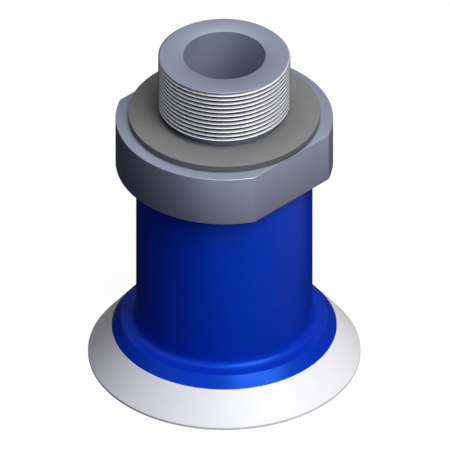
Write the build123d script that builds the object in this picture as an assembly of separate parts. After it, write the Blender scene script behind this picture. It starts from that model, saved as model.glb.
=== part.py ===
from build123d import *
import os
from math import cos, degrees, hypot, radians, sin

# A flat vacuum cup with a male threaded connection, in millimetres.
# The origin is the centre of the lip's sealing plane, and +Z runs up the cup's axis.

# Neck of the cup body, the hard blue part
neck_diameter = 36.0
neck_length = 38.4
neck_fillet = 1.5

# Flange of the cup body: a flat shoulder, then a cone that the lip carries on
shoulder_width = 3.15
cone_band = 1.8
flange_thickness = 3.8
throat_step = 0.6
throat_round = 1.6

# Sealing lip, the soft white skirt, bonded under the edge of the flange
lip_reach = 4.85
lip_edge_height = 0.55
lip_edge_width = 0.85
lip_root_wall = 1.45
lip_root_width = 3.0
lip_corner_radius = 1.4

# Cleats under the flange, which keep the sheet out of the throat
cleat_plane = 4.0
cleat_depth = 1.2
cleat_count = 12
cleat_width = 2.2
cleat_throat_gap = 2.4
cleat_edge_gap = 0.9
short_cleat_length = 3.45

# Stiffening ring moulded into the flange
stiffener_edge_cover = 0.95
stiffener_throat_cover = 2.2
stiffener_skin = 1.6
stiffener_thickness = 1.2
stiffener_hole = 2.4
stiffener_hole_count = 8

# Threaded fitting
air_bore = 16.8
bore_chamfer = 0.15
thread_diameter = 27.0
thread_length = 12.4
thread_chamfer = 0.2
undercut_depth = 1.5
undercut_height = 3.1
collar_overhang = 4.2
collar_height = 11.1
collar_chamfer = 0.2
across_flats = 39.0
spigot_wall = 2.6
spigot_fit_gap = 0.02
spigot_end_gap = 0.3
spigot_chamfer = 1.0

# Insert sleeve moulded into the neck around the spigot
sleeve_wall = 2.4
sleeve_lift = 2.2
sleeve_web = 2.0
sleeve_chamfer = 0.5
sleeve_groove_count = 3
sleeve_groove_width = 2.6
sleeve_groove_depth = 1.1
sleeve_key_count = 4
sleeve_key_width = 2.4
sleeve_key_depth = 0.8

# Sealing washer held captive in the undercut
washer_overhang = 0.1
washer_thickness = 1.5
washer_bore_gap = 0.1

# O-ring between the spigot and the sleeve, drawn as it is when squeezed
o_ring_section = 2.0
o_ring_squeezed = 1.4
o_ring_corner = 0.45
o_ring_depth = 1.8
o_ring_side_gap = 0.1
o_ring_wall_gap = 0.02

# Filter pocket in the sleeve's lower end, with the screen, its frame and the snap ring
pocket_step = 0.8
pocket_depth = 6.0
frame_height = 2.0
frame_wall = 1.3
frame_side_gap = 0.05
frame_chamfer = 0.3
screen_wire = 0.4
screen_pitch = 1.6
screen_bite = 0.1
screen_rim_grip = 0.7
screen_slot_gap = 0.02
snap_ring_thickness = 1.2
snap_ring_width = 1.9
snap_ring_slimming = 0.35
snap_ring_gap_angle = 44.0
snap_ring_fit_gap = 0.05
snap_groove_depth = 0.7
snap_groove_play = 0.1
lug_radius = 1.6
lug_hole = 1.3

# Heights that follow, from the sealing plane up
underside = cleat_plane + cleat_depth
shoulder_height = underside + flange_thickness
sleeve_bottom = shoulder_height + sleeve_lift
web_bottom = sleeve_bottom + pocket_depth
web_top = web_bottom + sleeve_web
neck_top = shoulder_height + neck_length
collar_top = neck_top + collar_height
thread_bottom = collar_top + undercut_height
thread_top = thread_bottom + thread_length
frame_bottom = web_bottom - frame_height
screen_height = web_bottom - frame_height / 2
snap_ring_bottom = frame_bottom - snap_ring_thickness
o_ring_bottom = neck_top - o_ring_depth - o_ring_section

# Radii that follow, from the axis out
bore_radius = air_bore / 2
spigot_radius = bore_radius + spigot_wall
pocket_radius = spigot_radius - pocket_step
throat_radius = pocket_radius - throat_step
sleeve_radius = spigot_radius + sleeve_wall
thread_radius = thread_diameter / 2
undercut_radius = thread_radius - undercut_depth
neck_radius = neck_diameter / 2
collar_radius = neck_radius + collar_overhang
shoulder_radius = neck_radius + shoulder_width
joint_radius = shoulder_radius + cone_band
lip_radius = joint_radius + lip_reach
root_radius = joint_radius - lip_root_width
frame_radius = pocket_radius - frame_side_gap
screen_radius = frame_radius - frame_wall + screen_rim_grip
snap_groove_radius = pocket_radius + snap_groove_depth

# One cone runs from the shoulder's edge, over the joint, to the lip's edge
skirt_slope = (shoulder_height - lip_edge_height) / (lip_radius - shoulder_radius)
joint_height = shoulder_height - skirt_slope * cone_band

# How near an edge has to be to a radius and a height to be the one that is meant
TOUCH = 1e-4


def turned(*corners):
    """Solid of revolution about the cup's axis, from corners given as (radius, height)."""
    outline = Polyline(*[(radius, 0, height) for radius, height in corners], close=True)
    return revolve(make_face(outline), Axis.Z)


def ring(outer, inner, bottom, top):
    """Plain ring about the cup's axis."""
    return turned((inner, bottom), (outer, bottom), (outer, top), (inner, top))


def disc(radius, bottom, top):
    """Plain solid disc about the cup's axis."""
    return Pos(0, 0, bottom) * extrude(Circle(radius), top - bottom)


def circles(solid, radius, height):
    """Round edges of a solid that lie at one radius and one height."""
    edges = solid.edges().filter_by(GeomType.CIRCLE)
    at_radius = edges.filter_by(lambda e: abs(e.radius - radius) < TOUCH)
    return at_radius.filter_by(lambda e: abs(e.arc_center.Z - height) < TOUCH)


def make_sealing_lip():
    """Conical skirt that thins towards its edge, on a flat root ring."""
    level_root_wall = lip_root_wall * hypot(1, skirt_slope) / skirt_slope
    inner_foot = lip_radius - lip_edge_width
    inner_head = shoulder_radius + (shoulder_height - underside) / skirt_slope - level_root_wall
    lip = turned(
        (lip_radius, 0),
        (lip_radius, lip_edge_height),
        (joint_radius, joint_height),
        (root_radius, joint_height),
        (root_radius, underside),
        (inner_head, underside),
        (inner_foot, 0),
    )
    return fillet(circles(lip, inner_head, underside), lip_corner_radius)


def make_cleat(length):
    """Radial cleat with round ends, from the underside down to the cleat plane."""
    middle = root_radius - cleat_edge_gap - length / 2
    outline = Pos(middle, 0, cleat_plane) * SlotOverall(length, cleat_width)
    return extrude(outline, cleat_depth)


def make_cleats():
    """Long and short cleats by turns around the throat."""
    step = 360 / cleat_count
    long_cleat = make_cleat(root_radius - cleat_edge_gap - throat_radius - cleat_throat_gap)
    short_cleat = make_cleat(short_cleat_length)
    cleats = [Rot(0, 0, step * i) * long_cleat for i in range(cleat_count)]
    cleats += [Rot(0, 0, step * (i + 0.5)) * short_cleat for i in range(cleat_count)]
    return cleats


def make_cup_body():
    """Neck, flange and cleats, moulded around the insert sleeve and the stiffening ring."""
    body = turned(
        (throat_radius, underside),
        (root_radius, underside),
        (root_radius, joint_height),
        (joint_radius, joint_height),
        (shoulder_radius, shoulder_height),
        (neck_radius, shoulder_height),
        (neck_radius, neck_top),
        (throat_radius, neck_top),
    )
    body = fillet(circles(body, neck_radius, shoulder_height), neck_fillet)
    body = fillet(circles(body, throat_radius, underside), throat_round)
    body += make_cleats()
    return body - make_sleeve_blank() - make_stiffening_ring()


def make_stiffening_ring():
    """Flat punched ring, with holes that the flange's material runs through."""
    outer = root_radius - stiffener_edge_cover
    inner = throat_radius + stiffener_throat_cover
    bottom = underside + stiffener_skin
    blank = ring(outer, inner, bottom, bottom + stiffener_thickness)
    punch = disc(stiffener_hole / 2, bottom, bottom + stiffener_thickness)
    return blank - PolarLocations((outer + inner) / 2, stiffener_hole_count) * punch


def make_sleeve_blank():
    """Outside of the insert sleeve, still solid: ring grooves and keyways that the neck fills."""
    blank = disc(sleeve_radius, sleeve_bottom, neck_top)
    ends = circles(blank, sleeve_radius, sleeve_bottom) + circles(blank, sleeve_radius, neck_top)
    blank = chamfer(ends, sleeve_chamfer)
    groove_floor = sleeve_radius - sleeve_groove_depth
    groove_step = (neck_top - sleeve_bottom) / (sleeve_groove_count + 1)
    half_width = sleeve_groove_width / 2
    for i in range(sleeve_groove_count):
        middle = sleeve_bottom + groove_step * (i + 1)
        blank -= ring(sleeve_radius, groove_floor, middle - half_width, middle + half_width)
    key_length = groove_step * sleeve_groove_count
    key_middle = sleeve_bottom + key_length / 2
    keyway = Pos(sleeve_radius, 0, key_middle) * Box(2 * sleeve_key_depth, sleeve_key_width, key_length)
    return blank - PolarLocations(0, sleeve_key_count) * keyway


def make_insert_sleeve():
    """Sleeve that carries the fitting and the filter, held in the neck by its grooves and keyways."""
    sleeve = make_sleeve_blank()
    sleeve -= disc(pocket_radius, sleeve_bottom, web_bottom)
    sleeve -= disc(bore_radius, web_bottom, web_top)
    sleeve -= disc(spigot_radius, web_top, neck_top)
    snap_groove_bottom = snap_ring_bottom - snap_groove_play
    return sleeve - ring(snap_groove_radius, pocket_radius, snap_groove_bottom, frame_bottom)


def make_threaded_fitting():
    """Turned fitting: threaded shank, undercut, collar with two flats, and a spigot with a seal groove."""
    spigot_bottom = web_top + spigot_end_gap
    spigot_outside = spigot_radius - spigot_fit_gap
    fitting = turned(
        (bore_radius, spigot_bottom),
        (spigot_outside, spigot_bottom),
        (spigot_outside, neck_top),
        (collar_radius, neck_top),
        (collar_radius, collar_top),
        (undercut_radius, collar_top),
        (undercut_radius, thread_bottom),
        (thread_radius, thread_bottom),
        (thread_radius, thread_top),
        (bore_radius, thread_top),
    )
    for radius, height, size in (
        (thread_radius, thread_top, thread_chamfer),
        (thread_radius, thread_bottom, thread_chamfer),
        (bore_radius, thread_top, bore_chamfer),
        (spigot_outside, spigot_bottom, spigot_chamfer),
        (collar_radius, neck_top, collar_chamfer),
        (collar_radius, collar_top, collar_chamfer),
    ):
        fitting = chamfer(circles(fitting, radius, height), size)
    groove_floor = spigot_radius - o_ring_squeezed
    groove_bottom = o_ring_bottom - o_ring_side_gap
    groove_top = o_ring_bottom + o_ring_section + o_ring_side_gap
    fitting -= ring(spigot_radius, groove_floor, groove_bottom, groove_top)
    flat_depth = collar_radius - across_flats / 2
    flat_middle = (collar_radius + across_flats / 2) / 2
    flat_height = (neck_top + collar_top) / 2
    cutter = Box(flat_depth, 2 * collar_radius, collar_height)
    fitting -= Pos(flat_middle, 0, flat_height) * cutter
    return fitting - Pos(-flat_middle, 0, flat_height) * cutter


def make_sealing_washer():
    """Flat washer on the collar, just wider than its flats, that hugs the undercut below the thread."""
    outer = across_flats / 2 + washer_overhang
    return ring(outer, undercut_radius + washer_bore_gap, collar_top, collar_top + washer_thickness)


def make_spigot_o_ring():
    """O-ring squeezed between the floor of the spigot's groove and the sleeve's bore."""
    inner = spigot_radius - o_ring_squeezed + o_ring_wall_gap
    outer = spigot_radius - o_ring_wall_gap
    seal = ring(outer, inner, o_ring_bottom, o_ring_bottom + o_ring_section)
    return chamfer(seal.edges().filter_by(GeomType.CIRCLE), o_ring_corner)


def make_filter_frame():
    """Ring with an inner slot that grips the edge of the screen, seated against the sleeve's web."""
    inner = frame_radius - frame_wall
    frame = ring(frame_radius, inner, frame_bottom, web_bottom)
    frame = chamfer(circles(frame, frame_radius, frame_bottom), frame_chamfer)
    slot_half = screen_wire - screen_bite / 2 + screen_slot_gap
    slot_floor = screen_radius + screen_slot_gap
    return frame - ring(slot_floor, inner, screen_height - slot_half, screen_height + slot_half)


def make_filter_screen():
    """Wire cloth: two layers of wires that cross and bite into each other, trimmed round."""
    reach = int(screen_radius / screen_pitch)
    places = [screen_pitch * i for i in range(-reach, reach + 1)]
    wire = Box(2 * screen_radius, screen_wire, screen_wire)
    rise = (screen_wire - screen_bite) / 2
    warp = [Pos(0, place, screen_height + rise) * wire for place in places]
    weft = [Rot(0, 0, 90) * Pos(0, place, screen_height - rise) * wire for place in places]
    cloth = warp[0].fuse(*warp[1:], *weft)
    return cloth & disc(screen_radius, screen_height - screen_wire, screen_height + screen_wire)


def make_retaining_ring():
    """Internal snap ring, widest opposite its gap, with two lugs holed for pliers."""
    outer = snap_groove_radius - snap_ring_fit_gap
    inner = outer - snap_ring_width
    half_gap = snap_ring_gap_angle / 2
    plan = Circle(outer) - Pos(0, -snap_ring_slimming) * Circle(inner)
    reach = 2 * outer
    rays = [radians(90 + side * half_gap) for side in (-1, 1)]
    plan -= make_face(Polyline((0, 0), *[(reach * cos(ray), reach * sin(ray)) for ray in rays], close=True))
    lug_circle = inner - snap_ring_slimming
    lug_turn = degrees(lug_radius / inner)
    for side in (-1, 1):
        angle = radians(90 + side * (half_gap + lug_turn))
        centre = Pos(lug_circle * cos(angle), lug_circle * sin(angle))
        plan += centre * Circle(lug_radius)
        plan -= centre * Circle(lug_hole / 2)
    return Pos(0, 0, snap_ring_bottom) * extrude(plan, snap_ring_thickness)


PIECES = {
    "sealing_lip": make_sealing_lip,
    "cup_body": make_cup_body,
    "stiffening_ring": make_stiffening_ring,
    "insert_sleeve": make_insert_sleeve,
    "threaded_fitting": make_threaded_fitting,
    "sealing_washer": make_sealing_washer,
    "spigot_o_ring": make_spigot_o_ring,
    "filter_frame": make_filter_frame,
    "filter_screen": make_filter_screen,
    "retaining_ring": make_retaining_ring,
}


def main():
    """Writes one STEP file for each piece."""
    os.makedirs("parts", exist_ok=True)
    for name, make in PIECES.items():
        export_step(make(), f"parts/{name}.step")


main()
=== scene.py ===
"""Looks of a flat vacuum cup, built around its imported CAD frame.

Sizes are millimetres in the classes and metres in the meshes. The axis of the cup is Z, and
the plane that the lip seals on is z = 0. The two wrench flats face +X and -X.
"""

import logging
import math
from collections.abc import Callable, Mapping
from dataclasses import dataclass
from enum import Enum
from typing import Any

import bmesh
import bpy
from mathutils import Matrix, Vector


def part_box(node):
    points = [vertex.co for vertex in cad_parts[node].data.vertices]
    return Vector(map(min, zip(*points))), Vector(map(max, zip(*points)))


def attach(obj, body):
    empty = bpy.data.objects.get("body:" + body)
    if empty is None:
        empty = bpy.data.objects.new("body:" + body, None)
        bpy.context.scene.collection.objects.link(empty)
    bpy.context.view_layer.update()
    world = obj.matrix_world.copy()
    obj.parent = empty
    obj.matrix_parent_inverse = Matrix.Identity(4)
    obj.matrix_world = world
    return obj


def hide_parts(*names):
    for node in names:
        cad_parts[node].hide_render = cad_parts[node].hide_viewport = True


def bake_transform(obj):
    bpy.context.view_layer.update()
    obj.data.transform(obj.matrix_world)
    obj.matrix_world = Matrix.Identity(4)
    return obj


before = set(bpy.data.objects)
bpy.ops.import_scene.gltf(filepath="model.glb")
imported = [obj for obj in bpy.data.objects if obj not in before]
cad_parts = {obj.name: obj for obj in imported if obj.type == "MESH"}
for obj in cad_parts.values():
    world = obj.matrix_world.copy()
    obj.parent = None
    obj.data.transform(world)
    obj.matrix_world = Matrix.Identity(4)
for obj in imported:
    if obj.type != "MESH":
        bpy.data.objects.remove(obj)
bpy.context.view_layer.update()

LOG = logging.getLogger("flat_vacuum_cup")
MM = 0.001
TURN = 2 * math.pi
FAR = 1e3
TINY = 1e-5

Point = tuple[float, float]
Color = tuple[float, float, float]
Warp = Callable[[float, float], float]
Socket = bpy.types.NodeSocket
Piece = bpy.types.Object


class Body(Enum):
    """Rigid bodies of the CAD frame."""

    ROOT = "root"
    LIP = "lip"


# Small helpers for node trees and meshes


class Graph:
    """Adds nodes to one shader or geometry tree and links their sockets."""

    def __init__(self, tree: bpy.types.NodeTree) -> None:
        """Keeps the tree that the nodes go into."""
        self.tree = tree

    def feed(self, socket: Socket, value: Any) -> None:
        """Links a socket to another, or sets its own value.

        Args:
            socket: The input socket.
            value: An output socket, or a plain value.
        """
        if isinstance(value, Socket):
            self.tree.links.new(value, socket)
        else:
            socket.default_value = value

    def add(
        self, kind: str, inputs: Mapping[str | int, Any] | None = None, **settings: Any
    ) -> bpy.types.Node:
        """Adds one node.

        Args:
            kind: The node's Blender type.
            inputs: Values or sockets for its inputs, by name or place.
            **settings: Properties of the node itself.

        Returns:
            The new node.
        """
        node = self.tree.nodes.new(kind)
        for name, value in settings.items():
            setattr(node, name, value)
        for key, value in (inputs or {}).items():
            self.feed(node.inputs[key], value)
        return node

    def math(self, operation: str, *values: Any) -> Socket:
        """Adds a Math node for one to three numbers or sockets, and gives its result."""
        return self.add("ShaderNodeMath", dict(enumerate(values)), operation=operation).outputs[0]

    def vector(self, operation: str, *values: Any) -> bpy.types.NodeOutputs:
        """Adds a Vector Math node, and gives its outputs Vector and Value."""
        return self.add("ShaderNodeVectorMath", dict(enumerate(values)), operation=operation).outputs

    def mix(self, share: Any, first: Any, second: Any) -> Socket:
        """Mixes two colours.

        Args:
            share: How much of the second one shows, from 0 to 1.
            first: One colour, as a socket or three numbers.
            second: The other colour, as a socket or three numbers.

        Returns:
            The mixed colour.
        """
        inputs = {"Factor": share}
        for name, color in (("A", first), ("B", second)):
            inputs[name] = color if isinstance(color, Socket) else (*color, 1.0)
        return self.add("ShaderNodeMix", inputs, data_type="RGBA").outputs["Result"]

    def axes(self, place: Socket) -> bpy.types.NodeOutputs:
        """Splits a vector into the outputs X, Y and Z."""
        return self.add("ShaderNodeSeparateXYZ", {0: place}).outputs

    def point(self, **axes: Any) -> Socket:
        """Makes a vector from its X, Y and Z, 0 where one is left out."""
        return self.add("ShaderNodeCombineXYZ", axes).outputs[0]

    def ramp(self, value: Any, low: float, high: float, start: float, end: float, **settings: Any) -> Socket:
        """Maps a value between low and high to one between start and end, clamped."""
        inputs = {"Value": value, "From Min": low, "From Max": high, "To Min": start, "To Max": end}
        return self.add("ShaderNodeMapRange", inputs, **settings).outputs["Result"]


@dataclass(frozen=True)
class Corner:
    """Corner of a turned outline, with the radius that rounds it."""

    radius: float
    height: float
    round: float = 0.0
    steps: int = 5


def rounded(before: Corner, corner: Corner, after: Corner) -> list[Point]:
    """Gives the points that stand for one corner.

    Args:
        before: The corner before it.
        corner: The corner itself.
        after: The corner after it.

    Returns:
        The corner's own point, or the points of its arc.
    """
    spot = Vector((corner.radius, corner.height))
    if not corner.round:
        return [tuple(spot)]
    back = (Vector((before.radius, before.height)) - spot).normalized()
    ahead = (Vector((after.radius, after.height)) - spot).normalized()
    half = back.angle(ahead) / 2
    centre = spot + (back + ahead).normalized() * (corner.round / math.sin(half))
    start, end = (spot + way * (corner.round / math.tan(half)) - centre for way in (back, ahead))
    sweep = start.angle(end)
    arc = []
    for step in range(corner.steps + 1):
        share = step / corner.steps
        swing = start * math.sin((1 - share) * sweep) + end * math.sin(share * sweep)
        arc.append(tuple(centre + swing / math.sin(sweep)))
    return arc


def trace(corners: list[Corner], longest: float = FAR) -> list[Point]:
    """Turns corners into the points of an outline.

    Args:
        corners: Corners with the material on the left, radius across and height up.
        longest: Runs longer than this get points between, evenly spaced.

    Returns:
        Points as (radius, height).
    """
    stops: list[Point] = []
    for index, corner in enumerate(corners):
        stops += rounded(corners[index - 1], corner, corners[(index + 1) % len(corners)])
    points: list[Point] = []
    for start, end in zip(stops, stops[1:] + stops[:1]):
        parts = max(1, math.ceil(math.dist(start, end) / longest))
        points += [tuple(Vector(start).lerp(end, step / parts)) for step in range(parts)]
    return points


def new_object(name: str, data: bpy.types.ID) -> Piece:
    """Puts a mesh, camera or lamp into the scene.

    Args:
        name: Name of the new object.
        data: What it shows.

    Returns:
        The object, at the origin.
    """
    made = bpy.data.objects.new(name, data)
    bpy.context.scene.collection.objects.link(made)
    return made


def turn(
    name: str, points: list[Point], columns: int, closed: bool = True, warp: Warp | None = None
) -> Piece:
    """Turns an outline about the cup's axis.

    Args:
        name: Name of the new object.
        points: Outline as (radius, height), in millimetres, with the material on its left.
        columns: Number of steps around the axis.
        closed: Whether the outline's last point joins the first.
        warp: Gives the radius to use from the outline's radius and the angle.

    Returns:
        The object, with faces that point outwards.
    """
    vertices = []
    for radius, height in points:
        for column in range(columns):
            angle = TURN * column / columns
            reach = warp(radius, angle) if warp else radius
            vertices.append((reach * math.cos(angle) * MM, reach * math.sin(angle) * MM, height * MM))
    faces = []
    rows = len(points)
    for row in range(rows if closed else rows - 1):
        here, above = row * columns, (row + 1) % rows * columns
        for column in range(columns):
            side = (column + 1) % columns
            faces.append((here + column, here + side, above + side, above + column))
    mesh = bpy.data.meshes.new(name)
    mesh.from_pydata(vertices, [], faces)
    return new_object(name, mesh)


def soften(piece: Piece, sharp_angle: float = 30.0) -> None:
    """Shades a piece smooth, but keeps edges sharp that bend more than an angle in degrees."""
    piece.data.shade_smooth()
    piece.data.set_sharp_from_angle(angle=math.radians(sharp_angle))


SOCKET_KINDS = {
    float: "NodeSocketFloat",
    int: "NodeSocketInt",
    Piece: "NodeSocketObject",
    bpy.types.Material: "NodeSocketMaterial",
}


class Recipe:
    """Geometry Nodes tree with named inputs that makes one shape."""

    def __init__(self, name: str, values: Mapping[str, Any]) -> None:
        """Starts the tree with its inputs and output.

        Args:
            name: Name of the tree.
            values: Value by input name, after the geometry.
        """
        self.tree = bpy.data.node_groups.new(name, "GeometryNodeTree")
        sockets = self.tree.interface
        sockets.new_socket("Geometry", in_out="INPUT", socket_type="NodeSocketGeometry")
        self.values: dict[str, Any] = {}
        for title, value in values.items():
            kind = next(kind for sort, kind in SOCKET_KINDS.items() if isinstance(value, sort))
            self.values[sockets.new_socket(title, in_out="INPUT", socket_type=kind).identifier] = value
        sockets.new_socket("Geometry", in_out="OUTPUT", socket_type="NodeSocketGeometry")
        self.graph = Graph(self.tree)
        self.given = self.graph.add("NodeGroupInput").outputs

    def close(self, *parts: Socket, weld: float = 0.0) -> None:
        """Joins the parts, makes them real and gives them the recipe's Material input.

        Args:
            *parts: Geometry sockets.
            weld: Distance within which points become one, in metres.
        """
        join = self.graph.add("GeometryNodeJoinGeometry")
        for part in parts:
            self.tree.links.new(part, join.inputs[0])
        made = self.graph.add("GeometryNodeRealizeInstances", {0: join.outputs[0]}).outputs[0]
        if weld:
            merge = {"Geometry": made, "Distance": weld}
            made = self.graph.add("GeometryNodeMergeByDistance", merge).outputs[0]
        painted = self.graph.add("GeometryNodeSetMaterial", {0: made, "Material": self.given["Material"]})
        self.graph.add("NodeGroupOutput", {0: painted.outputs[0]})

    def apply(self, piece: Piece) -> None:
        """Runs the recipe on a piece and keeps the result as its plain mesh.

        Args:
            piece: The object whose mesh goes in, and whose mesh is replaced.
        """
        modifier = piece.modifiers.new(self.tree.name, "NODES")
        modifier.node_group = self.tree
        for key, value in self.values.items():
            modifier[key] = value
        depsgraph = bpy.context.evaluated_depsgraph_get()
        made = bpy.data.meshes.new_from_object(piece.evaluated_get(depsgraph), depsgraph=depsgraph)
        piece.modifiers.remove(modifier)
        made.name = piece.name
        piece.data = made


# Finishes

# Point attribute that says where the thread's upper flanks get their painted highlight.
FLANK_HIGHLIGHT = "thread_flank"
SOFT_EDGE = 0.035


class Skin(Graph):
    """Tree of a material, with the place of each point on the cup."""

    def __init__(self, tree: bpy.types.NodeTree) -> None:
        """Keeps the material's tree and reads the place of each point."""
        super().__init__(tree)
        self.place = self.add("ShaderNodeTexCoord").outputs["Object"]

    def noise(self, place: Socket, size: float, detail: float) -> Socket:
        """Adds noise near 0.5, with patches of a size in millimetres and finer detail."""
        inputs = {"Vector": place, "Scale": 1 / (size * MM), "Detail": detail}
        return self.add("ShaderNodeTexNoise", inputs).outputs["Fac"]

    def reach(self) -> Socket:
        """Measures how far each point is from the cup's axis, in metres."""
        flat = self.vector("MULTIPLY", self.place, (1.0, 1.0, 0.0))["Vector"]
        return self.vector("LENGTH", flat)["Value"]

    def beyond(self, size: Socket, edge: float) -> Socket:
        """Goes softly from 0 to 1 where a size in metres passes an edge in millimetres."""
        return self.ramp(size, (edge - SOFT_EDGE) * MM, (edge + SOFT_EDGE) * MM, 0.0, 1.0)


@dataclass(frozen=True)
class Finish:
    """Base of every finish: one colour with faint mottling, and one roughness."""

    name: str
    color: Color
    roughness: float
    slot: str
    metallic: float = 0.0
    mottle: float = 0.05
    mottle_size: float = 4.0
    grain: float = 0.15
    grain_depth: float = 0.01
    gloss_swing: float = 0.04
    patch_range: tuple[float, float] = (0.3, 0.7)
    grain_range: tuple[float, float] = (0.2, 0.8)

    def material(self) -> bpy.types.Material:
        """Builds the procedural material.

        Returns:
            The material.
        """
        made = bpy.data.materials.new(self.name)
        made.use_nodes = True
        skin = Skin(made.node_tree)
        shader = made.node_tree.nodes["Principled BSDF"]
        for name, value in self.looks(skin).items():
            skin.feed(shader.inputs[name], value)
        return made

    def looks(self, skin: Skin) -> dict[str, Any]:
        """Gives the inputs of the Principled BSDF.

        Args:
            skin: The material's tree.

        Returns:
            Value or socket by input name.
        """
        marks = self.marks(skin)
        bump = {"Strength": 1.0, "Distance": self.grain_depth * MM, "Height": marks}
        return {
            "Metallic": self.metallic,
            "Base Color": self.paint(skin),
            "Roughness": self.gloss(skin, marks),
            "Normal": skin.add("ShaderNodeBump", bump).outputs["Normal"],
        }

    def paint(self, skin: Skin) -> Socket:
        """Varies the colour a little in soft patches."""
        patches = skin.noise(skin.place, self.mottle_size, detail=3.0)
        return self.tones(skin, skin.ramp(patches, *self.patch_range, 0.0, 1.0))

    def tones(self, skin: Skin, share: Socket) -> Socket:
        """Mixes a darker and a lighter tone of the colour.

        Args:
            skin: The material's tree.
            share: How much of the lighter tone shows.

        Returns:
            The colour.
        """
        dark = tuple(channel * (1 - self.mottle) for channel in self.color)
        light = tuple(min(1.0, channel * (1 + self.mottle)) for channel in self.color)
        return skin.mix(share, dark, light)

    def marks(self, skin: Skin) -> Socket:
        """Gives the height of the surface's fine grain, from 0 to 1."""
        return skin.noise(skin.place, self.grain, detail=2.0)

    def gloss(self, skin: Skin, marks: Socket) -> Socket:
        """Makes the roughness follow the grain a little."""
        low, high = self.roughness - self.gloss_swing, self.roughness + self.gloss_swing
        return skin.ramp(marks, *self.grain_range, low, high)


@dataclass(frozen=True)
class MachinedMetal(Finish):
    """Metal turned about the cup's axis, with flats milled beyond a distance in X."""

    flat_at: float = FAR
    round_drag: float = 0.4
    flat_drag: float = 0.02
    # Painted light on the thread: a painted highlight on its upper flanks and painted shade on its crests and
    # roots; None paints neither.
    flank_highlight_color: Color | None = None
    thread_shade_color: Color = (0.0, 0.0, 0.0)
    shank: float = 0.0
    thread_zone: tuple[float, float] = (0.0, 0.0)
    # Painted light: the end faces at these heights face up and are painted lighter than the turned sides.
    top_light_color: Color = (0.0, 0.0, 0.0)
    faces: tuple[float, ...] = ()
    top_light_depth: tuple[float, float] = (0.02, 0.06)

    def paint(self, skin: Skin) -> Socket:
        """Paints light and shade: lighter end faces on top, a painted highlight on the thread's upper flanks,
        and painted shade on its crests and roots.

        Args:
            skin: The material's tree.

        Returns:
            The colour.
        """
        body = super().paint(skin)
        if self.flank_highlight_color is None:
            return body
        # Painted highlight on the upper flanks, painted shade on the crests and roots, inside the thread
        # only.
        flank = skin.add("ShaderNodeAttribute", attribute_name=FLANK_HIGHLIGHT).outputs["Fac"]
        thread_highlight_and_shade = skin.mix(flank, self.thread_shade_color, self.flank_highlight_color)
        cut = skin.mix(self.threaded(skin), body, thread_highlight_and_shade)
        # Painted light on the up-facing end faces.
        return skin.mix(self.painted_top_light(skin), cut, self.top_light_color)

    def painted_top_light(self, skin: Skin) -> Socket:
        """Tells where the up-facing end faces get painted light, lighter than the sides.

        Args:
            skin: The material's tree.

        Returns:
            A socket that is 1 on the end faces and 0 elsewhere.
        """
        height = skin.axes(skin.place)["Z"]
        nearest, furthest = self.top_light_depth
        share = 0.0
        for level in self.faces:
            off = skin.math("ABSOLUTE", skin.math("SUBTRACT", height, level * MM))
            share = skin.math("ADD", skin.ramp(off, nearest * MM, furthest * MM, 1.0, 0.0), share)
        return share

    def threaded(self, skin: Skin) -> Socket:
        """Tells where the thread was cut.

        Args:
            skin: The material's tree.

        Returns:
            A socket that is 1 on the thread and 0 elsewhere.
        """
        height = skin.axes(skin.place)["Z"]
        low, high = self.thread_zone
        level = skin.math("SUBTRACT", skin.beyond(height, low), skin.beyond(height, high))
        return skin.math("MULTIPLY", level, skin.beyond(skin.reach(), self.shank))

    def marks(self, skin: Skin) -> Socket:
        """Runs the tool marks round the axis, and across the flats.

        Args:
            skin: The material's tree.

        Returns:
            A height from 0 to 1.
        """
        axes = skin.axes(skin.place)
        angle = skin.math("ARCTAN2", axes["Y"], axes["X"])
        along = skin.math("MULTIPLY", skin.math("COSINE", angle), self.round_drag * MM)
        turned = skin.point(X=skin.reach(), Y=axes["Z"], Z=along)
        milled = skin.point(X=skin.math("MULTIPLY", axes["Y"], self.flat_drag), Y=axes["Z"])
        on_flat = skin.math("GREATER_THAN", skin.math("ABSOLUTE", axes["X"]), self.flat_at * MM)
        rows = skin.add("ShaderNodeMix", {"Factor": on_flat, "A": turned, "B": milled}, data_type="VECTOR")
        return skin.noise(rows.outputs["Result"], self.grain, detail=2.0)


@dataclass(frozen=True)
class MouldedElastomer(Finish):
    """Moulded elastomer with a fine, even grain."""

    specular: float = 0.5
    specular_tint: Color = (1.0, 1.0, 1.0)
    glow: float = 0.0

    def looks(self, skin: Skin) -> dict[str, Any]:
        """Adds the gloss of the surface and the light that it lets in.

        Args:
            skin: The material's tree.

        Returns:
            Value or socket by input name.
        """
        return super().looks(skin) | {
            "Specular IOR Level": self.specular,
            "Specular Tint": (*self.specular_tint, 1.0),
            "Subsurface Weight": self.glow,
            "Subsurface Radius": (1.0, 1.0, 1.0),
            "Subsurface Scale": MM,
        }


@dataclass(frozen=True)
class FibreBoard(Finish):
    """Pressed fibre sheet with dark and light flecks, and painted shade on its outer side wall."""

    fleck: float = 0.35
    # Painted shade on the outer side wall: the radius where it starts, and how dark it is.
    edge: float = 19.56
    painted_side_shade: float = 0.45
    lay: float = 0.6
    stretch: float = 0.25
    fibre_range: tuple[float, float] = (0.35, 0.65)

    def paint(self, skin: Skin) -> Socket:
        """Draws short fibres that lie in the sheet, and paints shade on the outer side wall.

        Args:
            skin: The material's tree.

        Returns:
            The colour.
        """
        stretched = skin.add("ShaderNodeMapping", {
            "Vector": skin.place, "Rotation": (0.0, 0.0, self.lay), "Scale": (self.stretch, 1.0, 1.0),
        })
        fibres = skin.noise(stretched.outputs[0], self.fleck, detail=4.0)
        sheet = self.tones(skin, skin.ramp(fibres, *self.fibre_range, 0.0, 1.0))
        # Painted shade on the outer side wall, beyond the edge radius.
        cut = tuple(channel * self.painted_side_shade for channel in self.color)
        return skin.mix(skin.beyond(skin.reach(), self.edge), sheet, cut)


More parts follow.
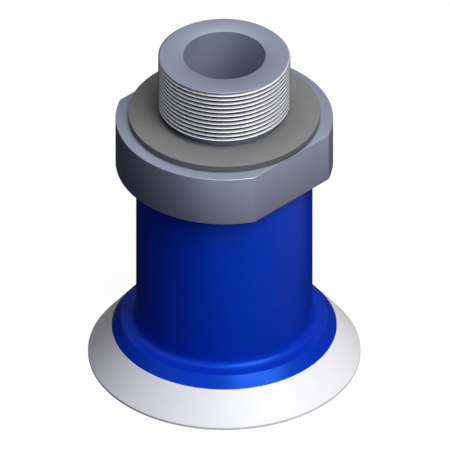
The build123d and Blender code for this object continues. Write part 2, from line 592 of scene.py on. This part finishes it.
FITTING = MachinedMetal(
    "turned_aluminium", (0.31, 0.333, 0.435), 0.40, "fitting_aluminium", metallic=0.6, mottle=0.03,
    # The thread's two colours below are a painted highlight on its flanks and painted shade on its crests and
    # roots.
    mottle_size=9.0, grain=0.12, grain_depth=0.004, flat_at=19.45, flank_highlight_color=(0.95, 0.96, 1.0),
    thread_shade_color=(0.003, 0.004, 0.014), shank=12.7, thread_zone=(61.7, 73.85),
    # The face colour is painted light on the end faces that face up.
    top_light_color=(0.41, 0.445, 0.585), faces=(58.5, 74.0),
)
NECK = MouldedElastomer(
    "blue_elastomer", (0.001, 0.030, 0.46), 0.31, "hard_elastomer", mottle=0.06, grain=0.12,
    grain_depth=0.002, specular=1.0, specular_tint=(0.05, 0.26, 1.0),
)
LIP = MouldedElastomer(
    "white_elastomer", (0.90, 0.90, 0.91), 0.45, "soft_elastomer", mottle=0.012, grain=0.2,
    grain_depth=0.003, specular=0.4, glow=0.05,
)
WASHER = FibreBoard("grey_fibre", (0.20, 0.20, 0.20), 0.75, "washer_polymer", grain=0.08)
BRASS = MachinedMetal(
    "turned_brass", (0.72, 0.50, 0.21), 0.32, "sleeve_brass", metallic=1.0, grain=0.15, grain_depth=0.004,
)
STEEL = MachinedMetal(
    "stainless_steel", (0.60, 0.60, 0.61), 0.3, "stainless_steel", metallic=1.0, grain=0.1, grain_depth=0.003,
)
SPRING = Finish(
    "phosphated_spring_steel", (0.10, 0.10, 0.105), 0.5, "spring_steel", metallic=0.8, mottle=0.2,
    mottle_size=0.8, grain=0.1,
)
SEAL = MouldedElastomer("black_rubber", (0.02, 0.02, 0.02), 0.45, "seal_rubber", mottle=0.1, grain=0.12)


# Pieces of the cup


@dataclass
class ThreadedFitting:
    """Turned fitting: helical thread, undercut, collar with two flats, bore and spigot."""

    columns: int = 126
    bore: float = 8.4
    mouth: float = 12.6
    pitch: float = 1.0
    major: float = 13.5
    thread_depth: float = 0.613
    rows_per_pitch: int = 16
    spare_turns: int = 2
    flank_span: tuple[float, float] = (1 / 32, 14 / 32)
    # Painted flank highlight: its middle in turns past a crest, how far from it the highlight stays full, and
    # where it fades out.
    flank_highlight_band: tuple[float, float, float] = (0.23, 0.09, 0.14)
    lead_in: float = 0.12
    weld: float = 0.002
    crest_at_camera: float = -45.0
    undercut: float = 12.0
    thread_bottom: float = 61.6
    collar_top: float = 58.5
    collar_bottom: float = 47.4
    flat: float = 19.5
    deburr: float = 0.14
    bore_round: float = 0.12
    spigot_round: float = 0.8
    undercut_round: float = 0.4
    spigot: float = 10.98
    groove: tuple[float, float, float] = (9.6, 43.5, 45.7)

    def __post_init__(self) -> None:
        """Takes the outer sizes from the CAD node's box."""
        low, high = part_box("threaded_fitting")
        self.bottom = low.z / MM
        self.top = high.z / MM
        self.collar = high.y / MM

    def squared(self, radius: float, angle: float) -> float:
        """Cuts the collar back to its two flats.

        Args:
            radius: Radius of the round outline.
            angle: Angle about the axis.

        Returns:
            The radius of the milled collar.
        """
        if radius < self.flat:
            return radius
        inset = self.flat - (self.collar - radius)
        return min(radius, inset / max(abs(math.cos(angle)), TINY))

    def shell(self) -> Piece:
        """Turns all of the fitting but the thread.

        Returns:
            The shell, open where the thread goes.
        """
        groove_floor, groove_bottom, groove_top = self.groove
        corners = [
            Corner(self.mouth, self.top),
            Corner(self.bore, self.top, self.bore_round, steps=2),
            Corner(self.bore, self.bottom),
            Corner(self.spigot, self.bottom, self.spigot_round, steps=3),
            Corner(self.spigot, groove_bottom),
            Corner(groove_floor, groove_bottom),
            Corner(groove_floor, groove_top),
            Corner(self.spigot, groove_top),
            Corner(self.spigot, self.collar_bottom),
            Corner(self.collar, self.collar_bottom, self.deburr, steps=3),
            Corner(self.collar, self.collar_top, self.deburr, steps=3),
            Corner(self.undercut, self.collar_top),
            Corner(self.undercut, self.thread_bottom, self.undercut_round, steps=4),
            Corner(self.mouth, self.thread_bottom),
        ]
        return turn("fitting_with_thread", trace(corners), self.columns, closed=False, warp=self.squared)

    def thread(self, values: Mapping[str, Any]) -> Recipe:
        """Writes the recipe of the helical thread, as a sheared grid rolled round the axis, with its painted
        flank highlight.

        Args:
            values: Value by input name.

        Returns:
            The recipe.
        """
        recipe = Recipe("helical_thread", values)
        graph, given = recipe.graph, recipe.given
        across = graph.math("ADD", given["Columns"], 1.0)
        grid = graph.add("GeometryNodeMeshGrid", {
            "Size X": 1.0, "Size Y": 1.0, "Vertices X": across, "Vertices Y": given["Rows"],
        }).outputs["Mesh"]
        spot = graph.axes(graph.add("GeometryNodeInputPosition").outputs[0])
        turns = graph.math("ADD", spot["X"], 0.5)
        climb = graph.math("ADD", spot["Y"], 0.5)
        last = graph.math("SUBTRACT", given["Rows"], 1.0)
        step = graph.math("DIVIDE", given["Pitch"], float(self.rows_per_pitch))
        below = graph.math("ADD", given["Crest Turn"], float(self.spare_turns))
        start = graph.math("SUBTRACT", given["Bottom"], graph.math("MULTIPLY", given["Pitch"], below))
        level = graph.math("MULTIPLY_ADD", graph.math("MULTIPLY", climb, last), step, start)
        helix = graph.math("MULTIPLY_ADD", turns, given["Pitch"], level)
        height = graph.math("MAXIMUM", given["Bottom"], graph.math("MINIMUM", helix, given["Top"]))
        drop = graph.math("DIVIDE", graph.math("SUBTRACT", height, start), given["Pitch"])
        past_crest = graph.math("SUBTRACT", drop, turns)
        radius = graph.add("GeometryNodeSwitch", {
            "Switch": graph.math("GREATER_THAN", graph.math("ABSOLUTE", spot["Y"]), 0.5 - TINY),
            "False": self.profile(recipe, height, past_crest),
            "True": given["Mouth Radius"],
        }, input_type="FLOAT").outputs[0]
        # Where the upper flanks get their painted highlight, stored on the points.
        middle, inner, outer = self.flank_highlight_band
        off = graph.math("ABSOLUTE", graph.math("SUBTRACT", graph.math("FRACT", past_crest), middle))
        highlight_stored = graph.add("GeometryNodeStoreNamedAttribute", {
            "Geometry": grid, "Name": FLANK_HIGHLIGHT, "Value": graph.ramp(off, inner, outer, 1.0, 0.0),
        }, data_type="FLOAT", domain="POINT").outputs[0]
        angle = graph.math("MULTIPLY", turns, TURN)
        rolled = graph.point(
            X=graph.math("MULTIPLY", radius, graph.math("COSINE", angle)),
            Y=graph.math("MULTIPLY", radius, graph.math("SINE", angle)),
            Z=height,
        )
        placed = graph.add("GeometryNodeSetPosition", {"Geometry": highlight_stored, "Position": rolled})
        recipe.close(given["Geometry"], placed.outputs[0], weld=self.weld * MM)
        return recipe

    def profile(self, recipe: Recipe, height: Socket, past_crest: Socket) -> Socket:
        """Cuts the thread's profile, which runs out at both ends.

        Args:
            recipe: The thread's recipe.
            height: Height of each point.
            past_crest: Turns from a crest to each point.

        Returns:
            The radius at each point.
        """
        graph, given = recipe.graph, recipe.given
        phase = graph.math("PINGPONG", past_crest, 0.5)
        flank = graph.ramp(phase, *self.flank_span, 0.0, 1.0, interpolation_type="SMOOTHSTEP")
        cut = graph.math("SUBTRACT", given["Major Radius"], graph.math("MULTIPLY", flank, given["Depth"]))
        to_top = graph.math("SUBTRACT", given["Top"], height)
        to_bottom = graph.math("SUBTRACT", height, given["Bottom"])
        slope = graph.math("SUBTRACT", graph.math("MINIMUM", to_top, to_bottom), given["Lead In"])
        envelope = graph.math("ADD", given["Major Radius"], graph.math("MINIMUM", slope, 0.0))
        return graph.math("MINIMUM", cut, envelope)

    def build(self) -> Piece:
        """Makes the fitting.

        Returns:
            The finished piece.
        """
        piece = self.shell()
        length = self.top - self.thread_bottom
        crest_turn = self.crest_at_camera / 360 - length % self.pitch / self.pitch
        turns = math.ceil(length / self.pitch) + 2 * self.spare_turns
        self.thread({
            "Pitch": self.pitch * MM,
            "Major Radius": self.major * MM,
            "Depth": self.thread_depth * MM,
            "Mouth Radius": self.mouth * MM,
            "Bottom": self.thread_bottom * MM,
            "Top": self.top * MM,
            "Lead In": self.lead_in * MM,
            "Crest Turn": crest_turn % 1.0,
            "Columns": self.columns,
            "Rows": turns * self.rows_per_pitch + 1,
            "Material": FITTING.material(),
        }).apply(piece)
        return finished(piece, "threaded_fitting", sharp_angle=24.0)


@dataclass(frozen=True)
class Bond:
    """Step where the lip's root is bonded to the body."""

    outer: float = 22.95
    inner: float = 19.95
    height: float = 6.7133
    underside: float = 5.2


BOND = Bond()


@dataclass
class CupBody:
    """Blue neck, flange and upper cone, with its crown of cleats underneath."""

    columns: int = 180
    throat: float = 9.6
    sleeve_seat: float = 13.4
    sleeve_bottom: float = 11.2
    neck: float = 18.0
    neck_top: float = 47.4
    shoulder: float = 21.15
    shoulder_height: float = 9.0
    neck_fillet: float = 1.5
    throat_round: float = 1.6
    shoulder_round: float = 0.08
    neck_round: float = 0.15
    cleat_plane: float = 4.0
    cleat_width: float = 2.2
    cleat_draft: float = 8.0
    cleat_round: float = 0.3
    cleat_bends: tuple[float, ...] = (0.35, 0.7, 1.0)
    cleat_steps: int = 10
    cleat_count: int = 12
    cleat_end: float = 19.05
    long_start: float = 12.0
    short_start: float = 15.6
    sink: float = 0.3

    def moulding(self) -> Piece:
        """Turns the body without its cleats.

        Returns:
            The closed body.
        """
        corners = [
            Corner(self.throat, BOND.underside, self.throat_round, steps=8),
            Corner(BOND.inner, BOND.underside),
            Corner(BOND.inner, BOND.height),
            Corner(BOND.outer, BOND.height),
            Corner(self.shoulder, self.shoulder_height, self.shoulder_round, steps=3),
            Corner(self.neck, self.shoulder_height, self.neck_fillet, steps=12),
            Corner(self.neck, self.neck_top, self.neck_round, steps=3),
            Corner(self.sleeve_seat, self.neck_top),
            Corner(self.sleeve_seat, self.sleeve_bottom),
            Corner(self.throat, self.sleeve_bottom),
        ]
        return turn("neck_and_flange", trace(corners), self.columns)

    def cleat(self, name: str, start: float) -> Piece:
        """Makes one cleat along +X, with round ends, drafted sides and a rounded foot.

        Args:
            name: Name of the helper object.
            start: Its inner end.

        Returns:
            The closed cleat, a little sunk into the body.
        """
        lean = math.tan(math.radians(self.cleat_draft))
        foot = self.cleat_plane + self.cleat_round
        side = (BOND.underside - foot) * lean
        levels = [(BOND.underside + self.sink, -self.sink * lean), (foot, side)]
        for share in self.cleat_bends:
            swing = share * math.pi / 2
            inset = side + self.cleat_round * (1 - math.cos(swing))
            levels.append((foot - self.cleat_round * math.sin(swing), inset))
        half = self.cleat_width / 2
        mesh = bmesh.new()
        loops = []
        for height, inset in levels:
            reach = half - inset
            loop = []
            for centre, base in ((self.cleat_end - half, -90), (start + half, 90)):
                for step in range(self.cleat_steps + 1):
                    angle = math.radians(base + 180 * step / self.cleat_steps)
                    spot = (centre + reach * math.cos(angle), reach * math.sin(angle), height)
                    loop.append(mesh.verts.new(Vector(spot) * MM))
            loops.append(loop)
        for upper, lower in zip(loops, loops[1:]):
            for index in range(len(upper)):
                mesh.faces.new((upper[index - 1], lower[index - 1], lower[index], upper[index]))
        mesh.faces.new(loops[0])
        mesh.faces.new(list(reversed(loops[-1])))
        bmesh.ops.recalc_face_normals(mesh, faces=mesh.faces)
        made = bpy.data.meshes.new(name)
        mesh.to_mesh(made)
        mesh.free()
        return new_object(name, made)

    def crown(self, values: Mapping[str, Any]) -> Recipe:
        """Writes the recipe that sets long and short cleats by turns round the throat.

        Args:
            values: Value by input name.

        Returns:
            The recipe.
        """
        recipe = Recipe("cleat_crown", values)
        graph, given = recipe.graph, recipe.given
        rings = []
        for title, offset in (("Long Cleat", 0.0), ("Short Cleat", 0.5)):
            places = graph.add("GeometryNodeMeshLine", {"Count": given["Count"], "Offset": (0.0, 0.0, 0.0)})
            index = graph.add("GeometryNodeInputIndex").outputs[0]
            share = graph.math("DIVIDE", graph.math("ADD", index, offset), given["Count"])
            spin = graph.point(Z=graph.math("MULTIPLY", share, TURN))
            shape = graph.add("GeometryNodeObjectInfo", {"Object": given[title]}).outputs["Geometry"]
            placed = graph.add("GeometryNodeInstanceOnPoints", {
                "Points": places.outputs[0], "Instance": shape, "Rotation": spin,
            })
            rings.append(placed.outputs[0])
        recipe.close(given["Geometry"], *rings)
        return recipe

    def build(self) -> Piece:
        """Makes the cup body.

        Returns:
            The finished piece.
        """
        piece = self.moulding()
        blanks = [self.cleat("long_cleat", self.long_start), self.cleat("short_cleat", self.short_start)]
        self.crown({
            "Long Cleat": blanks[0],
            "Short Cleat": blanks[1],
            "Count": self.cleat_count,
            "Material": NECK.material(),
        }).apply(piece)
        for blank in blanks:
            bpy.data.objects.remove(blank)
        return finished(piece, "cup_body")


@dataclass
class SealingLip:
    """White conical skirt, which gives way as it is pressed on."""

    columns: int = 180
    row_height: float = 0.5
    edge_height: float = 0.55
    edge_width: float = 0.85
    inner_head: float = 22.3
    hollow_round: float = 1.4
    edge_round: float = 0.1

    def build(self) -> Piece:
        """Makes the lip.

        Returns:
            The finished piece.
        """
        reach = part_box("sealing_lip")[1].x / MM
        corners = [
            Corner(reach, 0.0, self.edge_round, steps=3),
            Corner(reach, self.edge_height, self.edge_round, steps=3),
            Corner(BOND.outer, BOND.height),
            Corner(BOND.inner, BOND.height),
            Corner(BOND.inner, BOND.underside),
            Corner(self.inner_head, BOND.underside, self.hollow_round, steps=6),
            Corner(reach - self.edge_width, 0.0, self.edge_round, steps=3),
        ]
        piece = turn("sealing_skirt", trace(corners, longest=self.row_height), self.columns)
        piece.data.materials.append(LIP.material())
        soften(piece)
        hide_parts("sealing_lip")
        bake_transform(piece)
        return piece


@dataclass
class SealingWasher:
    """Flat grey washer held captive between the thread and the collar."""

    columns: int = 144
    hole: float = 12.1
    round: float = 0.12

    def build(self) -> Piece:
        """Makes the washer.

        Returns:
            The finished piece.
        """
        low, high = (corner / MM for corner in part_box("sealing_washer"))
        places = ((self.hole, low.z), (high.x, low.z), (high.x, high.z), (self.hole, high.z))
        corners = [Corner(*place, self.round, steps=2) for place in places]
        piece = turn("flat_washer", trace(corners), self.columns)
        piece.data.materials.append(WASHER.material())
        return finished(piece, "sealing_washer")


@dataclass
class FilterScreen:
    """Woven wire cloth, trimmed round, that keeps dust out of the bore."""

    wire: float = 0.4
    pitch: float = 1.6
    lift: float = 0.185
    wires: int = 11
    steps: int = 57
    wire_sides: int = 8
    trim: float = 0.03

    def weave(self, values: Mapping[str, Any]) -> Recipe:
        """Writes the recipe of the cloth: waved wires one way, and the same set turned over.

        Args:
            values: Value by input name.

        Returns:
            The recipe.
        """
        recipe = Recipe("woven_cloth", values)
        graph, given = recipe.graph, recipe.given
        edge = graph.math("MULTIPLY", graph.math("MULTIPLY_ADD", given["Wires"], -0.5, 0.5), given["Pitch"])
        gap = graph.point(Y=given["Pitch"])
        row = graph.add("GeometryNodeMeshLine", {
            "Count": given["Wires"], "Start Location": graph.point(Y=edge), "Offset": gap,
        }).outputs[0]
        line = graph.add("GeometryNodeCurvePrimitiveLine", {
            "Start": (-1.0, 0.0, 0.0), "End": (1.0, 0.0, 0.0),
        }).outputs[0]
        fine = graph.add("GeometryNodeResampleCurve", {"Curve": line, "Count": given["Steps"]}).outputs[0]
        laid = graph.add("GeometryNodeInstanceOnPoints", {"Points": row, "Instance": fine}).outputs[0]
        real = graph.add("GeometryNodeRealizeInstances", {0: laid}).outputs[0]
        spot = graph.axes(graph.add("GeometryNodeInputPosition").outputs[0])
        square = graph.math("MULTIPLY", given["Cloth Radius"], given["Cloth Radius"])
        left = graph.math("SUBTRACT", square, graph.math("MULTIPLY", spot["Y"], spot["Y"]))
        along = graph.math("MULTIPLY", spot["X"], graph.math("SQRT", left))
        steps = graph.math("DIVIDE", graph.math("ADD", along, spot["Y"]), given["Pitch"])
        wave = graph.math("COSINE", graph.math("MULTIPLY", steps, math.pi))
        lifted = graph.math("MULTIPLY", wave, given["Lift"])
        bent = graph.point(X=along, Y=spot["Y"], Z=lifted)
        waved = graph.add("GeometryNodeSetPosition", {"Geometry": real, "Position": bent}).outputs[0]
        section = graph.add("GeometryNodeCurvePrimitiveCircle", {
            "Resolution": self.wire_sides, "Radius": given["Wire Radius"],
        }).outputs[0]
        solid = graph.add("GeometryNodeCurveToMesh", {
            "Curve": waved, "Profile Curve": section, "Fill Caps": True,
        }).outputs[0]
        height = graph.point(Z=given["Height"])
        warp = graph.add("GeometryNodeTransform", {"Geometry": solid, "Translation": height})
        weft = graph.add("GeometryNodeTransform", {
            "Geometry": solid, "Translation": height, "Rotation": (math.pi, 0.0, math.pi / 2),
        })
        recipe.close(warp.outputs[0], weft.outputs[0])
        return recipe

    def build(self) -> Piece:
        """Makes the cloth.

        Returns:
            The finished piece.
        """
        low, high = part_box("filter_screen")
        piece = new_object("wire_cloth", bpy.data.meshes.new("wire_cloth"))
        self.weave({
            "Wire Radius": self.wire / 2 * MM,
            "Pitch": self.pitch * MM,
            "Lift": self.lift * MM,
            "Cloth Radius": high.x - self.trim * MM,
            "Height": (low.z + high.z) / 2,
            "Wires": self.wires,
            "Steps": self.steps,
            "Material": STEEL.material(),
        }).apply(piece)
        return finished(piece, "filter_screen", sharp_angle=40.0)


def finished(piece: Piece, node: str, sharp_angle: float = 30.0) -> Piece:
    """Shades a piece, hides the CAD node that it replaces, and fixes it to the cup's main body.

    Args:
        piece: The new piece.
        node: The CAD node that it replaces.
        sharp_angle: Edges that bend more than this, in degrees, stay sharp.

    Returns:
        The piece.
    """
    soften(piece, sharp_angle)
    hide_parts(node)
    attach(piece, Body.ROOT.value)
    return piece


INNER_FINISHES: dict[str, Finish] = {
    "insert_sleeve": BRASS,
    "stiffening_ring": STEEL,
    "filter_frame": STEEL,
    "retaining_ring": SPRING,
    "spigot_o_ring": SEAL,
}


def dress_inner_parts() -> None:
    """Gives the CAD nodes that stay their own finishes."""
    for node, finish in INNER_FINISHES.items():
        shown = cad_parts[node]
        made = finish.material()
        for place in shown.material_slots:
            place.material = made
        LOG.info("%s keeps its CAD shape, in %s", node, finish.name)


# Studio


@dataclass(frozen=True)
class Lamp:
    """Soft round lamp, placed from the camera's side: swing to its right, rise above the floor."""

    name: str
    swing: float
    rise: float
    size: float
    share: float
    color: Color = (1.0, 1.0, 1.0)


KEY = Lamp("key", swing=40.0, rise=46.0, size=560.0, share=0.88)
OVERHEAD = Lamp("overhead", swing=40.0, rise=78.0, size=650.0, share=0.42)
FILL = Lamp("fill", swing=-12.0, rise=8.0, size=600.0, share=0.13, color=(0.35, 0.4, 1.0))
BACK = Lamp("back", swing=180.0, rise=-14.0, size=500.0, share=0.24)
UNDER = Lamp("under", swing=180.0, rise=-70.0, size=300.0, share=0.5)


def facing(azimuth: float, elevation: float) -> Vector:
    """Gives the direction from the cup to a viewer.

    Args:
        azimuth: Degrees round the axis, 0 in front of the -Y side.
        elevation: Degrees above the floor.

    Returns:
        The direction, of length 1.
    """
    turned, raised = math.radians(azimuth), math.radians(elevation)
    return Vector((
        math.sin(turned) * math.cos(raised), -math.cos(turned) * math.cos(raised), math.sin(raised),
    ))


@dataclass
class Studio:
    """Camera at the photograph's angle, soft lamps all round, a dim room and a pale floor."""

    azimuth: float = 45.0
    elevation: float = 35.264
    view_width: float = 91.76
    aim: tuple[float, float, float] = (0.10, 0.10, 31.6)
    camera_distance: float = 400.0
    clip: tuple[float, float] = (10.0, 10000.0)
    lamp_distance: float = 700.0
    room_light: float = 0.03
    dark_side: float = 0.01
    bright_side: float = 0.7
    bright_walls: float = 0.2
    wall_heights: tuple[float, float] = (0.1, 0.5)
    bright_ceiling: float = 0.9
    ceiling_rise: float = 66.0
    ceiling_range: tuple[float, float] = (0.35, 0.7)
    floor_size: float = 4000.0
    floor_drop: float = 0.02
    floor_swing: float = 45.0
    floor_range: tuple[float, float] = (20.0, 110.0)
    floor_albedo: float = 0.09
    floor_glow: float = 0.95

    def place(self, data: bpy.types.ID, way: Vector, distance: float) -> Piece:
        """Puts a camera or lamp into the scene, aimed at the cup.

        Args:
            data: The camera or lamp.
            way: Direction from the cup to it.
            distance: How far off it is, in millimetres.

        Returns:
            The new object.
        """
        made = new_object(data.name, data)
        made.location = (Vector(self.aim) + way * distance) * MM
        made.rotation_euler = (-way).to_track_quat("-Z", "Y").to_euler()
        return made

    def camera(self) -> None:
        """Sets up the parallel view of the photograph."""
        data = bpy.data.cameras.new("camera")
        data.type = "ORTHO"
        data.ortho_scale = self.view_width * MM
        data.clip_start, data.clip_end = (distance * MM for distance in self.clip)
        back = facing(self.azimuth, self.elevation)
        bpy.context.scene.camera = self.place(data, back, self.camera_distance)

    def hang(self, lamp: Lamp) -> None:
        """Hangs a soft lamp round the cup.

        Args:
            lamp: Where it hangs and how it shines.
        """
        data = bpy.data.lights.new(lamp.name, "AREA")
        data.shape = "DISK"
        data.size = lamp.size * MM
        data.energy = lamp.share * (math.pi * self.lamp_distance * MM) ** 2
        data.color = lamp.color
        self.place(data, facing(self.azimuth + lamp.swing, lamp.rise), self.lamp_distance)

    def backdrop(self, graph: Graph, shade: Socket) -> Socket:
        """Makes the background white to the camera, and shaded in mirrored rays.

        Args:
            graph: The tree to add to.
            shade: How bright it is in mirrored rays.

        Returns:
            The strength, 0 for rays that only light the cup.
        """
        rays = graph.add("ShaderNodeLightPath").outputs
        mirrored = graph.math("MAXIMUM", rays["Is Glossy Ray"], rays["Is Transmission Ray"])
        return graph.math("MAXIMUM", graph.math("MULTIPLY", mirrored, shade), rays["Is Camera Ray"])

    def room(self) -> None:
        """Makes a room that looks white and lights the cup only dimly."""
        world = bpy.data.worlds.new("room")
        bpy.context.scene.world = world
        world.use_nodes = True
        graph = Graph(world.node_tree)
        shade = world.node_tree.nodes["Background"]
        graph.feed(shade.inputs["Color"], (1.0, 1.0, 1.0, 1.0))
        seen = graph.add("ShaderNodeTexCoord").outputs["Generated"]
        height = graph.axes(seen)["Z"]
        walls = graph.ramp(height, *self.wall_heights, self.dark_side, self.bright_walls)
        near = graph.vector("DOT_PRODUCT", seen, facing(self.azimuth, self.ceiling_rise))["Value"]
        ceiling = graph.ramp(near, *self.ceiling_range, 0.0, self.bright_ceiling)
        strength = self.backdrop(graph, graph.math("ADD", walls, ceiling))
        graph.feed(shade.inputs["Strength"], graph.math("MAXIMUM", strength, self.room_light))

    def floor(self) -> None:
        """Lays the pale floor, which lets light and sight through from below."""
        half, level = self.floor_size / 2 * MM, -self.floor_drop * MM
        mesh = bpy.data.meshes.new("floor")
        corners = ((-half, -half), (half, -half), (half, half), (-half, half))
        mesh.from_pydata([(x, y, level) for x, y in corners], [], [(0, 1, 2, 3)])
        floor = new_object("floor", mesh)
        made = bpy.data.materials.new("pale_floor")
        made.use_nodes = True
        nodes = made.node_tree.nodes
        nodes.remove(nodes["Principled BSDF"])
        graph = Graph(made.node_tree)
        plain = graph.math("SUBTRACT", 1.0, graph.add("ShaderNodeLightPath").outputs["Is Glossy Ray"])
        lit = graph.add("ShaderNodeBsdfDiffuse", {"Color": graph.math("MULTIPLY", plain, self.floor_albedo)})
        place = graph.add("ShaderNodeTexCoord").outputs["Object"]
        side = graph.vector("DOT_PRODUCT", place, facing(self.azimuth + self.floor_swing, 0.0))["Value"]
        start, end = (distance * MM for distance in self.floor_range)
        shade = graph.ramp(side, start, end, self.dark_side, self.bright_side)
        seen = self.backdrop(graph, shade)
        glow = graph.math("MULTIPLY", seen, self.floor_glow)
        shine = graph.add("ShaderNodeEmission", {"Color": (1.0, 1.0, 1.0, 1.0), "Strength": glow})
        top = graph.add("ShaderNodeAddShader", {0: lit.outputs[0], 1: shine.outputs[0]})
        under = graph.add("ShaderNodeBsdfTransparent")
        shadowed = graph.add("ShaderNodeLightPath").outputs["Is Shadow Ray"]
        below = graph.math("MAXIMUM", graph.add("ShaderNodeNewGeometry").outputs["Backfacing"], shadowed)
        both = graph.add("ShaderNodeMixShader", {0: below, 1: top.outputs[0], 2: under.outputs[0]})
        graph.feed(nodes["Material Output"].inputs["Surface"], both.outputs[0])
        mesh.materials.append(made)

    def build(self) -> None:
        """Sets up the whole studio."""
        self.camera()
        for lamp in (KEY, OVERHEAD, FILL, BACK, UNDER):
            self.hang(lamp)
        self.room()
        self.floor()
        bpy.context.scene.view_settings.view_transform = "Standard"


def main() -> None:
    """Builds the cup piece by piece, then the studio."""
    logging.basicConfig(level=logging.INFO, format="%(name)s: %(message)s")
    for maker in (ThreadedFitting(), CupBody(), SealingLip(), SealingWasher(), FilterScreen()):
        piece = maker.build()
        LOG.info("%s: %d faces", piece.name, len(piece.data.polygons))
    dress_inner_parts()
    Studio().build()


if __name__ == "__main__":
    main()
